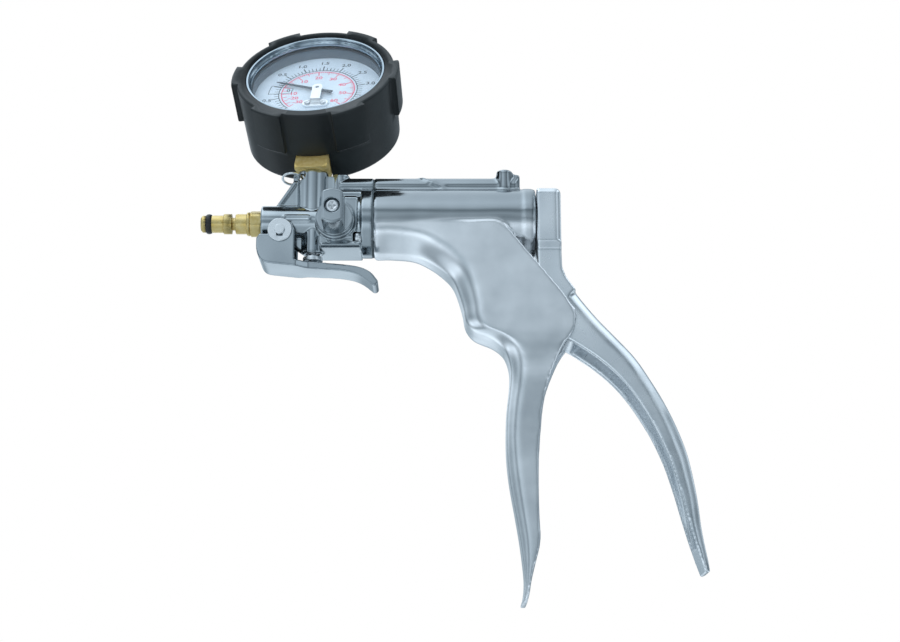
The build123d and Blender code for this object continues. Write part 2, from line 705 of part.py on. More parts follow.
def knob_screw():
    face = knob_back_y() - knob_disc_t - knob_bar_h
    seat = face + knob_recess_depth
    head = rod_y(2.85, seat - 1.9, seat - seat_gap, knob_x, knob_z)
    head = softened(head, head.edges().filter_by(GeomType.CIRCLE).group_by(Axis.Y)[0], 0.8)
    cross = block(knob_x - 1.7, knob_x + 1.7, seat - 3, seat - 0.8, knob_z - 0.4, knob_z + 0.4)
    cross += block(knob_x - 0.4, knob_x + 0.4, seat - 3, seat - 0.8, knob_z - 1.7, knob_z + 1.7)
    return head - cross + rod_y(knob_screw_r(), seat - 0.5, knob_back_y() + 5.0, knob_x, knob_z)


def valve_rotor():
    """Ported plug that the knob turns, with a square-shouldered neck and two O-ring grooves."""
    neck_end = knob_back_y() - knob_disc_t - 5.8
    solid = rod_y(rotor_r, knob_face_y - 0.1, rotor_end_y, knob_x, knob_z)
    solid += rod_y(2.55, neck_end, knob_face_y, knob_x, knob_z)
    for y in rotor_grooves():
        groove = rod_y(rotor_r + 1, y - 0.85, y + 0.85, knob_x, knob_z) - rod_y(rotor_r - 1.3, y - 1, y + 1, knob_x, knob_z)
        solid -= groove
    solid -= rod_y(knob_screw_r() + seat_gap, neck_end - 1, knob_back_y() + 5.6, knob_x, knob_z)
    solid -= rod_x(1.6, knob_x - rotor_r - 1, knob_x + rotor_r + 1, z=knob_z)
    return solid - rod_z(1.6, knob_z, knob_z + rotor_r + 1, x=knob_x)


def rotor_grooves():
    return (knob_face_y + 5.0, rotor_end_y - 2.2)


def rotor_o_rings():
    rings = []
    for y in rotor_grooves():
        section_r = 0.64
        ring = Pos(knob_x, y, knob_z) * Rot(90, 0, 0) * Torus(rotor_r - 1.3 + section_r + 0.01, section_r)
        rings.append(ring)
    return Compound(children=rings)


# ------------------------------------------------------------------ piston group
def piston():
    solid = rod_x(bore_r - slide_gap, piston_x, piston_x + piston_len)
    groove_a = piston_x + 2.4
    solid -= rod_x(bore_r + 1, groove_a, groove_a + cup_len) - rod_x(bore_r - 3.2, groove_a - 1, groove_a + cup_len + 1)
    solid = softened(solid, solid.edges().filter_by(GeomType.CIRCLE).group_by(Axis.X)[0], 0.5)
    solid -= rod_x(rod_neck_r() + seat_gap, piston_x - 1, piston_x + piston_len + 1)
    return solid - rod_x(5.4, piston_x - 1, piston_x + 2.2)


def rod_neck_r():
    return 2.5


def piston_cup_seal():
    """Cup seal with a lip that opens towards the head."""
    x0 = piston_x + 2.4 + seat_gap
    x1 = x0 + cup_len - 2 * seat_gap
    inner = bore_r - 3.2 + 0.02
    outline = [
        (x0, bore_r - 1.1), (x0, bore_r - 0.03), (x0 + 1.2, bore_r - 0.08), (x1, bore_r - 0.6),
        (x1, inner), (x0 + 1.4, inner), (x0 + 1.4, bore_r - 1.7),
    ]
    return turned_x(outline)


def piston_nut():
    nut = Pos(piston_x + 0.2, 0, 0) * Rot(0, 90, 0) * extrude(RegularPolygon(3.9, 6, major_radius=False), 2.0)
    return nut - rod_x(rod_neck_r() + seat_gap, piston_x - 1, piston_x + 4)


def piston_rod():
    shoulder = piston_x + piston_len
    tongue_x = rod_pin_x - tongue_h
    solid = rod_x(rod_neck_r(), piston_x, shoulder) + rod_x(rod_r, shoulder, tongue_x + 1)
    eye = rod_y(tongue_h, -tongue_half, tongue_half, rod_pin_x, 0)
    solid += eye
    return solid - rod_y(rod_pin_r + seat_gap, -20, 20, rod_pin_x, 0)


def rod_pin():
    pin = rod_y(rod_pin_r, -rod_pin_half, rod_pin_half, rod_pin_x, 0)
    return softened(pin, pin.edges().filter_by(GeomType.CIRCLE), 0.3)


def rod_bush():
    """Guide bush pressed into the rear wall of the barrel."""
    bush = rod_x(bush_r - seat_gap, barrel_end_x - rear_wall, barrel_end_x - 0.1)
    return bush - rod_x(rod_r + run_gap, 0, barrel_end_x + 1)


def return_spring():
    front = piston_x + piston_len + 0.1
    rear = barrel_end_x - rear_wall - 0.1
    return Pos(front, 0, 0) * Rot(0, 90, 0) * coil(spring_r, spring_wire, spring_turns, rear - front)


# ------------------------------------------------------------------ squeeze handle
HANDLE_ROWS = [
    # back x, back z, open x, open z, half width, corner radius
    (154.4, -28.5, 143.2, -37.5, neck_half_w, 6.5),
    (158.6, -34.4, 145.2, -46.2, neck_half_w, 6.5),
    (163.2, -40.5, 148.6, -53.2, neck_half_w, 6.5),
    (169.0, -47.5, 156.6, -58.2, neck_half_w, 6.5),
    (176.2, -55.2, 165.6, -64.2, neck_half_w, 6.5),
    (184.3, -64.3, 174.4, -71.6, neck_half_w, 6.5),
    (190.8, -74.2, 181.6, -79.8, neck_half_w - 0.1, 6.5),
    (197.3, -85.6, 188.2, -89.8, neck_half_w - 0.3, 6.5),
    (202.5, -97.0, 193.7, -100.2, neck_half_w - 0.6, 6.5),
    (206.2, -107.8, 197.8, -110.2, neck_half_w - 1.0, 6.0),
    (208.5, -118.8, 201.0, -120.6, neck_half_w - 1.4, 5.5),
    (210.0, -128.6, 203.5, -130.2, neck_half_w - 1.8, 5.0),
    (211.0, -138.6, 206.0, -139.8, neck_half_w - 2.2, 4.5),
    (212.2, -147.0, 208.5, -148.4, neck_half_w - 2.6, 3.6),
    (213.4, -153.5, 210.5, -154.8, neck_half_w - 3.2, 2.8),
    (214.2, -158.5, 211.9, -159.4, neck_half_w - 4.4, 2.2),
]
HANDLE_FIRST_HOLLOW = 3  # the neck above this row is solid round the pivot
HANDLE_LAST_HOLLOW = 13


def pin_in_handle(turn):
    """Where the rod pin's centre lies in the handle after it turns, from the handle pivot, in x and z."""
    x = rod_pin_x - pivot_x + arm * turn
    return (x * math.cos(turn) - arm * math.sin(turn), x * math.sin(turn) + arm * math.cos(turn))


def pin_slot():
    """Slot in the handle's cheeks that covers every place of the rod pin over the squeeze."""
    steps = 24
    path = [pin_in_handle(math.radians(squeeze_deg) * i / steps) for i in range(steps + 1)]
    low = min(path, key=lambda p: p[1])
    high = max(path, key=lambda p: p[1])
    r = rod_pin_r + slot_gap
    half = rod_pin_half + side_gap
    ends = [rod_y(r, -half, half, pivot_x + p[0], pivot_z + p[1]) for p in (low, high)]
    dx, dz = high[0] - low[0], high[1] - low[1]
    length = math.hypot(dx, dz)
    nx, nz = r * dz / length, -r * dx / length
    corners = [(low[0] + nx, low[1] + nz), (high[0] + nx, high[1] + nz),
               (high[0] - nx, high[1] - nz), (low[0] - nx, low[1] - nz)]
    joined = side_plate([(pivot_x + x, pivot_z + z) for x, z in corners], -half, half)
    return ends[0] + ends[1] + joined


def moving_handle():
    rows = smooth_rows(HANDLE_ROWS, 2)
    solid = channel(rows)
    neck = side_plate([(head_front, head_step_z - 3.0), (head_front, -38.0), (145.4, -46.4), (158.6, -34.5),
                       (154.4, -28.6), (152.6, -24.0), (head_front + head_len, -18.0),
                       (head_front + head_len, head_step_z - 3.0)], -neck_half_w, neck_half_w)
    head = side_plate([(head_front, head_step_z), (head_front, head_top_z), (head_front + head_len, head_top_z),
                       (head_front + head_len, head_step_z)], -head_half_w, head_half_w)
    head = softened(head, head.edges().filter_by(Axis.Y).group_by(Axis.Z)[-1].group_by(Axis.X)[-1], 2.6)
    head = softened(head, head.edges().filter_by(Axis.X).group_by(Axis.Z)[-1], 3.0)
    step = loft([
        Plane.XY.offset(head_step_z) * Pos(head_front + head_len / 2, 0) * Rectangle(head_len, 2 * head_half_w),
        Plane.XY.offset(head_step_z - 3.1) * Pos(head_front + head_len / 2, 0) * Rectangle(head_len, 2 * neck_half_w),
    ])
    solid += neck
    solid += head
    solid += step
    hollow = rows[2 * HANDLE_FIRST_HOLLOW:2 * HANDLE_LAST_HOLLOW + 1]
    solid -= channel(hollow, inset=handle_wall, open_over=4.0)
    solid -= block(head_front - 1, head_front + head_len - 1.7, -tongue_half - side_gap, tongue_half + side_gap,
                   -10.0, 8.6)
    solid -= pin_slot()
    return solid - rod_y(pivot_pin_r + run_gap, -20, 20, pivot_x, pivot_z)


def handle_pivot_pin():
    pin = rod_y(pivot_pin_r, -grip_half_w + pivot_blind + 0.1, grip_half_w + 0.2, pivot_x, pivot_z)
    return softened(pin, pin.edges().filter_by(GeomType.CIRCLE), 0.3)


# ------------------------------------------------------------------ gauge, made in its own frame
def boot_front_z():
    return boot_back_z + boot_depth


def gauge_boot():
    front = boot_front_z()
    outline = make_face(Polyline((0, 0, boot_back_z), (boot_back_r, 0, boot_back_z), (boot_r, 0, front),
                                 (0, 0, front), close=True))
    outline = fillet(outline.vertices().group_by(Axis.X)[-1], 1.0)
    outline = fillet(outline.vertices().sort_by_distance((boot_back_r, 0, boot_back_z))[0], 2.2)
    body = revolve(outline, Axis.Z, 360)
    lug_back = front - lug_share * boot_depth
    for i in range(lug_count):
        body += Rot(0, 0, i * 360 / lug_count) * boot_lug(front, lug_back)
    body -= rod_z(case_r + seat_gap, case_back_z() - seat_gap, front + 1)
    # slot for the stem, open to the back edge
    slot_half = socket_w / 2 + 0.4
    body -= block(-slot_half, slot_half, -boot_r - 5, -case_r + 3, boot_back_z - 1, socket_front + 0.4)
    return body


def boot_lug(front, back):
    """Gripping lug on the rim of the boot, centred on the gauge's x axis, with rounded corners."""
    slope = math.tan(math.radians(lug_arc_deg / 2))
    inner = boot_back_r - 2.0
    plan = make_face(Polyline((inner, -inner * slope), (lug_out_r, -lug_out_r * slope), (lug_out_r, lug_out_r * slope),
                              (inner, inner * slope), close=True))
    plan = fillet(plan.vertices().group_by(Axis.X)[-1], 1.2)
    lug = Pos(0, 0, back) * extrude(plan, front - back)
    side = make_face(Polyline((inner - 6, 0, back), (lug_out_r - 0.4, 0, back), (lug_out_r, 0, front),
                              (inner - 6, 0, front), close=True))
    side = fillet(side.vertices().group_by(Axis.X)[-1], 0.9)
    side = fillet(side.vertices().sort_by_distance((lug_out_r - 0.4, 0, back))[0], 0.9)
    return lug & revolve(side, Axis.Z, 360)


def case_back_z():
    return boot_back_z + boot_wall_back


def case_front_z():
    return boot_front_z() - lip_gap


def gauge_case():
    """Pressed steel cup that holds the movement and the dial."""
    back = case_back_z()
    front = case_front_z() - bezel_len()
    cup = rod_z(case_r - 0.5, back, front)
    cup = softened(cup, cup.edges().filter_by(GeomType.CIRCLE).group_by(Axis.Z)[0], 1.2)
    cup -= rod_z(case_r - 0.5 - case_wall, back + case_wall, front + 1)
    cup -= block(-socket_w / 2 - 0.1, socket_w / 2 + 0.1, -case_r - 5, -case_r + 3, -socket_back - 0.05,
                 socket_front + 0.1)
    return cup


def bezel_len():
    return 7.0


def gauge_bezel():
    """Stepped bright ring over the edge of the lens."""
    front = case_front_z()
    back = front - bezel_len() + 0.1
    outline = [
        (case_r - 0.05, back), (case_r - 0.05, front - 0.5), (case_r - 0.5, front), (opening_r, front),
        (opening_r - 0.4, front - 1.0), (opening_r - 0.4, front - 1.6), (opening_r - 1.1, front - 2.0),
        (opening_r - 1.1, front - 2.8), (dial_r + 0.3, front - 3.2), (dial_r + 0.3, lens_front_z() + 0.05),
        (case_r - 0.7, lens_front_z() + 0.05), (case_r - 0.7, back),
    ]
    return turned_z(outline)


def lens_front_z():
    return case_front_z() - 3.6


def gauge_lens():
    lens = rod_z(case_r - 1.5, lens_front_z() - lens_t, lens_front_z())
    return softened(lens, lens.edges().filter_by(GeomType.CIRCLE), 0.2)


def lens_spacer():
    """Ring that keeps the lens off the dial and lines the inside of the case."""
    outer = case_r - 0.5 - case_wall - 0.05
    low = dial_z
    high = lens_front_z() - lens_t - 0.02
    return rod_z(outer, low + 0.02, high) - rod_z(dial_r, low - 1, high + 1)


def gauge_dial():
    disc = rod_z(case_r - 0.5 - case_wall - 0.1, dial_z - dial_t, dial_z)
    return disc - rod_z(1.6, dial_z - 2, dial_z + 1)


def dial_bracket():
    """Bright bracket on the dial: a wide screwed foot and a strip that bridges up to the pointer."""
    foot_y = -10.9
    base = Pos(0, foot_y, dial_z + 0.02) * extrude(SlotOverall(12.0, 5.4), 0.9)
    strip = block(-2.3, 2.3, foot_y + 1.0, foot_y + 2.0, dial_z + 0.5, dial_z + 2.6)
    bridge = block(-2.3, 2.3, foot_y + 1.0, 0.4, dial_z + 1.9, dial_z + 2.6)
    eye = Pos(0, 0.4, dial_z + 1.9) * extrude(Circle(2.3), 0.7)
    solid = base + strip + bridge + eye
    for x in (-3.6, 3.6):
        solid -= rod_z(0.75, dial_z - 1, dial_z + 2, x=x, y=foot_y)
    return solid - rod_z(0.9, dial_z + 1, dial_z + 5)


def bracket_screws():
    screws = []
    for x in (-3.6, 3.6):
        z = dial_z + 0.92
        head = rod_z(1.5, z, z + 0.8, x=x, y=-10.9)
        head = softened(head, head.edges().group_by(Axis.Z)[-1], 0.4)
        slot = Pos(x, -10.9, z + 0.8) * Rot(0, 0, 35) * Box(4, 0.4, 0.6)
        screws.append(head - slot + rod_z(0.72, dial_z + 0.04, z + 0.1, x=x, y=-10.9))
    return Compound(children=screws)


def gauge_pointer():
    """Thin needle, at zero on the dial, with a short tail."""
    z = dial_z + 0.95
    tail = 7.5
    outline = make_face(Polyline((-tail, -1.0), (-2.0, -0.8), (pointer_len - 3, -0.45), (pointer_len, 0),
                                 (pointer_len - 3, 0.45), (-2.0, 0.8), (-tail, 1.0), close=True))
    needle = extrude(outline, 0.5) + extrude(Circle(2.0), 0.8)
    needle -= Pos(0, 0, -1) * extrude(Circle(0.65), 3)
    return Pos(0, 0, z) * Rot(0, 0, ZERO_DEG) * needle


def pointer_shaft():
    shaft = rod_z(0.64, 6.2, dial_z + 2.62)
    pinion = pinion_body()
    return shaft + pinion


def pinion_body():
    body = rod_z(1.15, MOVEMENT_Z, MOVEMENT_Z + 2.0)
    for i in range(PINION_TEETH):
        body += Rot(0, 0, i * 360 / PINION_TEETH) * block(0.8, PINION_TIP, -0.22, 0.22, MOVEMENT_Z, MOVEMENT_Z + 2.0)
    return body


def sector_gear():
    """Toothed sector that turns the pointer pinion; its teeth are centred on its working range."""
    tip = GEAR_CENTRES - PINION_TIP - 0.1
    z0 = MOVEMENT_Z + 0.4
    pitch_deg = 360 / PINION_TEETH / SECTOR_RATIO
    plate = extrude(Circle(2.0), 1.0)
    plate += Pos(-3.0, 0, 0.5) * Box(6.0, 1.8, 1.0)
    web = make_face(Polyline((0, 0), (tip * 0.8, tip * 0.42), (tip * 0.9, 0), (tip * 0.8, -tip * 0.42), close=True))
    plate += Rot(0, 0, SECTOR_REST_DEG) * (extrude(web, 1.0) & extrude(Circle(tip - 0.6), 1.0))
    for i in range(-3, 4):
        plate += Rot(0, 0, SECTOR_REST_DEG + i * pitch_deg) * Pos(tip - 0.7, 0, 0.5) * Box(1.4, 0.5, 1.0)
    plate -= Pos(0, 0, -1) * extrude(Circle(0.65), 4)
    return Pos(0, -GEAR_CENTRES, z0) * Rot(0, 0, 90) * plate


def movement_frame():
    """Two plates and their posts, which carry the pinion, the sector and its arbor."""
    low = rod_z(12.5, 5.6, 6.6, y=-5.0) & block(-9, 9, -16.0, 5.0, 5, 15)
    high = rod_z(12.5, 12.6, 13.6, y=-5.0) & block(-9, 9, -16.0, 5.0, 5, 15)
    solid = low + high
    for x, y in ((-7.2, -12.0), (7.2, -12.0), (0, 3.6)):
        solid += rod_z(1.1, 5.6, 13.6, x=x, y=y)
    solid -= rod_z(0.7, 0, 20)
    return solid - rod_z(0.66, 0, 20, y=-GEAR_CENTRES)


def sector_arbor():
    return rod_z(0.6, 5.5, 13.7, y=-GEAR_CENTRES)


def bourdon_tube():
    """Flattened C-shaped pressure tube, soldered into the socket at its lower end."""
    mean = 22.0
    path = CenterArc((0, 0, 0), mean, -75.5, 262)
    section = Plane(origin=path @ 0, z_dir=path % 0, x_dir=(0, 0, 1)) * SlotOverall(9.0, 3.2)
    return Pos(0, 0, 2.0) * sweep(section, path=path)


def socket_shapes():
    """Brass stem: square block in the case wall, carrier inside, both in the gauge frame."""
    root = -stem_len
    square = block(-socket_w / 2, socket_w / 2, root - 12.0, -case_r + 2.0, -socket_back, socket_front)
    carrier = block(-5.0, 5.0, -case_r + 1.0, -19.4, -5.6, 5.0)
    return square, carrier


def gauge_socket():
    square, carrier = socket_shapes()
    upper = on_gauge(square)
    inner = on_gauge(carrier)
    low = gauge_boss_z + 0.02
    half = socket_w / 2
    foot_z = stem_root_z + 9.0
    foot = Pos(gauge_x, 0, (low + foot_z) / 2) * Rot(0, 0, -gauge_yaw_deg) * Box(socket_w, 2 * half, foot_z - low)
    # the upright foot ends on the inclined block's upper face, and the block ends at the boss
    above = Pos(gauge_x, 0, low + 30) * Box(80, 80, 60)
    upper &= above
    lean_cut = on_gauge(block(-40, 40, -stem_len - 40, -boot_r - 0.4, -40, socket_front + 0.01))
    foot &= lean_cut
    upper_part = upper & on_gauge(block(-40, 40, -boot_r - 14, 0, -socket_back, 40))
    reach = rod_z(half * 1.45, low, foot_z, x=gauge_x)
    upper_part = (upper_part & on_gauge(block(-40, 40, -boot_r + 0.5, 0, -40, 40))) + (upper_part & reach)
    spigot = rod_z(gauge_bore_r, gauge_boss_z - 8.0, low + 0.5, x=gauge_x)
    solid = foot + upper_part + inner + spigot
    solid -= rod_z(1.4, gauge_boss_z - 9, stem_root_z, x=gauge_x)
    return solid - on_gauge(Pos(0, -stem_len / 2 - 11, 0) * Rot(90, 0, 0) * Cylinder(1.4, stem_len - 21))


# ------------------------------------------------------------------ nodes
def nodes():
    gauge_nodes = {
        "gauge_boot": gauge_boot, "gauge_case": gauge_case, "gauge_bezel": gauge_bezel,
        "gauge_lens": gauge_lens, "lens_spacer": lens_spacer, "gauge_dial": gauge_dial,
        "dial_bracket": dial_bracket, "bracket_screws": bracket_screws, "gauge_pointer": gauge_pointer,
        "pointer_shaft": pointer_shaft, "sector_gear": sector_gear, "sector_arbor": sector_arbor,
        "movement_frame": movement_frame, "bourdon_tube": bourdon_tube,
    }
    plain_nodes = {
        "body_casting": body_casting, "head_casting": head_casting, "head_gasket": head_gasket,
        "head_screws": head_screws, "valve_plate": valve_plate, "hose_plug": hose_plug,
        "plug_o_ring": plug_o_ring, "split_ring": split_ring, "release_lever": release_lever,
        "lever_pin": lever_pin, "lever_clips": lever_clips, "release_valve_stem": release_valve_stem,
        "release_valve_seal": release_valve_seal, "release_spring": release_spring,
        "change_over_knob": change_over_knob, "knob_screw": knob_screw, "valve_rotor": valve_rotor,
        "rotor_o_rings": rotor_o_rings, "piston": piston, "piston_cup_seal": piston_cup_seal,
        "piston_nut": piston_nut, "piston_rod": piston_rod, "rod_pin": rod_pin, "rod_bush": rod_bush,
        "return_spring": return_spring, "moving_handle": moving_handle, "handle_pivot_pin": handle_pivot_pin,
        "gauge_socket": gauge_socket,
    }
    made = {name: make() for name, make in plain_nodes.items()}
    made["intake_valve"] = check_valve(-check_z, True)
    made["exhaust_valve"] = check_valve(check_z, False)
    made.update({name: on_gauge(make()) for name, make in gauge_nodes.items()})
    return made


os.makedirs("parts", exist_ok=True)
for node_name, shape in nodes().items():
    export_step(shape, f"parts/{node_name}.step")
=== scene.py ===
import json
import math

import bmesh
import bpy
import numpy as np
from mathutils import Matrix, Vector


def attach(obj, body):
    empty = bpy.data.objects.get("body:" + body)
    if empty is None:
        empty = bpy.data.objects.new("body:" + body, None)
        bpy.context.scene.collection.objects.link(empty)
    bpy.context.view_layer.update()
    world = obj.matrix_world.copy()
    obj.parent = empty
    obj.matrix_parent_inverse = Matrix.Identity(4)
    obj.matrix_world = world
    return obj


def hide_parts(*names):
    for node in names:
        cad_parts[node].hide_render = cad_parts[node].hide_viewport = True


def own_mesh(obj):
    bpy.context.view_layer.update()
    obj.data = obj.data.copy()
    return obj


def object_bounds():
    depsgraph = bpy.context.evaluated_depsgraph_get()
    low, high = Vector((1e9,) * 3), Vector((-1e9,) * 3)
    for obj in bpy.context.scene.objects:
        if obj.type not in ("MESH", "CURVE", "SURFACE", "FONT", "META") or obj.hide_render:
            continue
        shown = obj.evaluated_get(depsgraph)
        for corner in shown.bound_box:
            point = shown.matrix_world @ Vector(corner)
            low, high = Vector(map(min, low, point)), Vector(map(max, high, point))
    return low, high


# Looks of a hand vacuum pump: polished die-cast barrel, valve head and handles, brass hose plug,
# and a dial gauge in a rubber boot. Metres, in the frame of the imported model: the barrel lies
# along X with the plug at -X, +Z is up, and the knob and the dial are on the -Y side.

MM = 0.001
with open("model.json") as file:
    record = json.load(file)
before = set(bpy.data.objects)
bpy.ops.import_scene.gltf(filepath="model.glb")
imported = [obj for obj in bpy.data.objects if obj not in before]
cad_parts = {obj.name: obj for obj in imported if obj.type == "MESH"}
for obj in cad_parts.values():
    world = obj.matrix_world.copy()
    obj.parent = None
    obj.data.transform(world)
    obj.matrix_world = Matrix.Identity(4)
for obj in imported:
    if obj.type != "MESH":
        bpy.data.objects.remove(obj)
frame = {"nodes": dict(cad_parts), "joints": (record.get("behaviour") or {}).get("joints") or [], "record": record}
CAD_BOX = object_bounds()
RECORD = frame["record"]
BODY_OF = {node: body for body, nodes in RECORD["behaviour"]["bodies"].items() for node in nodes}
SLOT_OF = {part["node"]: part["material_slot"] for part in RECORD["subparts"]}

# ---- the gauge's own frame, from the pointer joint
POINTER_JOINT = next(j for j in frame["joints"] if j["name"] == "pointer_turn")
DIAL_OUT = Vector(POINTER_JOINT["axis"]).normalized()
DIAL_RIGHT = Vector((-DIAL_OUT.y, DIAL_OUT.x, 0)).normalized()
DIAL_UP = DIAL_OUT.cross(DIAL_RIGHT)
DIAL_HUB = Vector(POINTER_JOINT["pos_m"])
ZERO_DEG = 165.0                # printed zero of both scales, counter-clockwise from the dial's right


# ------------------------------------------------------------------ mesh helpers
def put_mesh(name, points, faces, body, material, smooth=True):
    """New piece from points in metres and faces, riding on a body."""
    mesh = bpy.data.meshes.new(name)
    mesh.from_pydata(np.asarray(points).tolist(), [], [list(map(int, f)) for f in faces])
    mesh.validate()
    if smooth:
        mesh.shade_smooth()
    piece = bpy.data.objects.new(name, mesh)
    bpy.context.scene.collection.objects.link(piece)
    mesh.materials.append(material)
    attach(piece, body)
    return piece


def on_dial(x, y, z):
    """Points of the gauge's frame, in mm with z out from the pointer joint, as points in metres."""
    x, y, z = np.broadcast_arrays(np.asarray(x, float), np.asarray(y, float), np.asarray(z, float))
    axes = np.array([DIAL_RIGHT, DIAL_UP, DIAL_OUT])
    return np.array(DIAL_HUB) + np.stack([x, y, z], -1).reshape(-1, 3) @ axes * MM


def merged_copy(node, name):
    """Copy of a CAD node's mesh with its loose triangles joined; the node itself is left alone."""
    source = frame["nodes"][node]
    mesh = source.data.copy()
    work = bmesh.new()
    work.from_mesh(mesh)
    bmesh.ops.remove_doubles(work, verts=work.verts, dist=2e-6)
    work.to_mesh(mesh)
    work.free()
    piece = bpy.data.objects.new(name, mesh)
    bpy.context.scene.collection.objects.link(piece)
    return piece


def stand_for(piece, node, material):
    """The piece takes the node's place and body and the given material, and the node is hidden."""
    piece.data.materials.clear()
    piece.data.materials.append(material)
    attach(piece, BODY_OF[node])
    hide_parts(node)
    return piece


def bake_modifiers(piece):
    """The piece's modifiers become its mesh."""
    baked = bpy.data.meshes.new_from_object(piece.evaluated_get(bpy.context.evaluated_depsgraph_get()))
    piece.modifiers.clear()
    piece.data = baked


def machined(node, material, angle=32.0):
    """A piece as it was cut or pressed: round faces shaded round, corners over the angle left crisp,
    and normals weighted by face area, so flat faces stay flat up to their rounded edges."""
    piece = merged_copy(node, node + "_finish")
    piece.data.shade_smooth()
    piece.data.set_sharp_from_angle(angle=math.radians(angle))
    weigh = piece.modifiers.new("flat_faces", "WEIGHTED_NORMAL")
    weigh.keep_sharp = True
    bake_modifiers(piece)
    return stand_for(piece, node, material)


def cast(node, material, voxel_mm, passes):
    """A piece as it left the die: its skin is remeshed in even quads and every edge is relaxed round."""
    piece = merged_copy(node, node + "_finish")
    remesh = piece.modifiers.new("skin", "REMESH")
    remesh.mode = "VOXEL"
    remesh.voxel_size = voxel_mm * MM
    relax = piece.modifiers.new("relax", "SMOOTH")
    relax.factor = 0.5
    relax.iterations = passes
    bake_modifiers(piece)
    piece.data.shade_smooth()
    return stand_for(piece, node, material)


# ------------------------------------------------------------------ materials
# Darker base colour of the buffed barrel: painted shade.
BARREL_PAINTED_SHADE_TONE = "#9fa6aa"
THIN_INK = 38           # how much paler, of 255, the ink is where the pad lifted


def linear(hex_colour):
    """Linear colour with alpha 1 of an sRGB hex value."""
    parts = [int(hex_colour[i:i + 2], 16) / 255 for i in (1, 3, 5)]
    return tuple(c / 12.92 if c <= 0.04045 else ((c + 0.055) / 1.055) ** 2.4 for c in parts) + (1.0,)


def add(tree, kind, values=(), links=()):
    """One node: values sets its sockets (by name or number) or its own settings, links joins sockets."""
    made = tree.nodes.new(kind)
    for name, value in dict(values).items():
        if isinstance(name, int) or name in made.inputs:
            made.inputs[name].default_value = value
        else:
            setattr(made, name, value)
    for name, output in dict(links).items():
        tree.links.new(output, made.inputs[name])
    return made


def finish(name, base, metallic, roughness, **sockets):
    """New material with one Principled shader; returns it, its tree, the shader and Object coordinates."""
    made = bpy.data.materials.new(name)
    made.use_nodes = True
    tree = made.node_tree
    shader = tree.nodes["Principled BSDF"]
    values = {"Base Color": linear(base), "Metallic": metallic, "Roughness": roughness}
    values.update(sockets)
    for socket, value in values.items():
        shader.inputs[socket].default_value = value
    place = add(tree, "ShaderNodeTexCoord").outputs["Object"]
    return made, tree, shader, place


def noise(tree, place, size_mm, detail=2.0):
    """Noise whose lumps are about size_mm across; returns its value."""
    return add(tree, "ShaderNodeTexNoise", {"Scale": 1 / (size_mm * MM), "Detail": detail},
               {"Vector": place}).outputs["Fac"]


def between(tree, value, low, high, from_low=0.3, from_high=0.7):
    """A value mapped from its usual spread to low..high."""
    return add(tree, "ShaderNodeMapRange", {"From Min": from_low, "From Max": from_high,
                                            "To Min": low, "To Max": high}, {"Value": value}).outputs[0]


def blend_colours(tree, factor, first, second):
    """Colour that goes from the first hex value to the second with the factor."""
    mix = add(tree, "ShaderNodeMix", {"data_type": "RGBA"}, {"Factor": factor})
    mix.inputs[6].default_value = linear(first)
    mix.inputs[7].default_value = linear(second)
    return mix.outputs[2]


def raise_surface(tree, shader, heights):
    """Bump from (height, depth in mm) pairs, one over the other."""
    normal = None
    for height, depth_mm in heights:
        bump = add(tree, "ShaderNodeBump", {"Strength": 1.0, "Distance": depth_mm * MM}, {"Height": height})
        if normal is not None:
            tree.links.new(normal, bump.inputs["Normal"])
        normal = bump.outputs["Normal"]
    tree.links.new(normal, shader.inputs["Normal"])


def zinc_finish(name, base, roughness, wave_mm):
    """Bright-plated zinc: patchy tone and the buffing wheel's waves; its colour is linked by the caller."""
    made, tree, shader, place = finish(name, base[0], 1.0, roughness)
    tone = blend_colours(tree, between(tree, noise(tree, place, 14.0, 3.0), 0.0, 1.0), *base)
    raise_surface(tree, shader, [(noise(tree, place, 18.0, 1.0), wave_mm),
                                 (noise(tree, place, 1.6, 3.0), 0.002)])
    return made, tree, shader, place, tone


def even_zinc(name, base, roughness, wave_mm):
    """Zinc with one finish all over: its roughness wanders a little where it has been handled."""
    made, tree, shader, place, tone = zinc_finish(name, base, roughness, wave_mm)
    wear = noise(tree, place, 7.0, 2.0)
    tree.links.new(between(tree, wear, roughness - 0.03, roughness + 0.04), shader.inputs["Roughness"])
    tree.links.new(tone, shader.inputs["Base Color"])
    return made


def polished_zinc():
    """Die-cast zinc of the pump body. The barrel is turned and buffed to a clear mirror, with its base painted
    darker as painted shade; the grip below its top edge is only tumbled, so it is more even, with its base painted
    paler as painted light. The change follows the height."""
    made, tree, shader, place, tone = zinc_finish("polished_zinc", ("#e4e7ea", "#f6f8fa"), 0.24, 0.45)
    height = add(tree, "ShaderNodeSeparateXYZ", links={"Vector": place}).outputs["Z"]
    # Painted light and shade by height: the barrel above gets the darker base as painted shade, and the grip below
    # keeps the paler base as painted light. The roughness change is the real finish.
    barrel = between(tree, height, 0.0, 1.0, -0.0045, -0.0005)
    mix = add(tree, "ShaderNodeMix", {"data_type": "RGBA"}, {"Factor": barrel, 6: tone})
    mix.inputs[7].default_value = linear(BARREL_PAINTED_SHADE_TONE)
    tree.links.new(mix.outputs[2], shader.inputs["Base Color"])
    tree.links.new(between(tree, barrel, 0.27, 0.13, 0.0, 1.0), shader.inputs["Roughness"])
    return made


def tumbled_zinc():
    """Die-cast zinc of the moving handle, tumbled and plated: even and softly reflecting, with its base painted
    pale as painted light.
    """
    return even_zinc("tumbled_zinc", ("#dfe4e8", "#f4f7f9"), 0.26, 0.45)


def buffed_zinc():
    """Die-cast zinc of the valve head, lever and knob, buffed before plating: a clearer mirror, with its base
    painted mid-grey as painted shade.
    """
    return even_zinc("buffed_zinc", ("#a1a9ae", "#b4bcc0"), 0.16, 0.2)


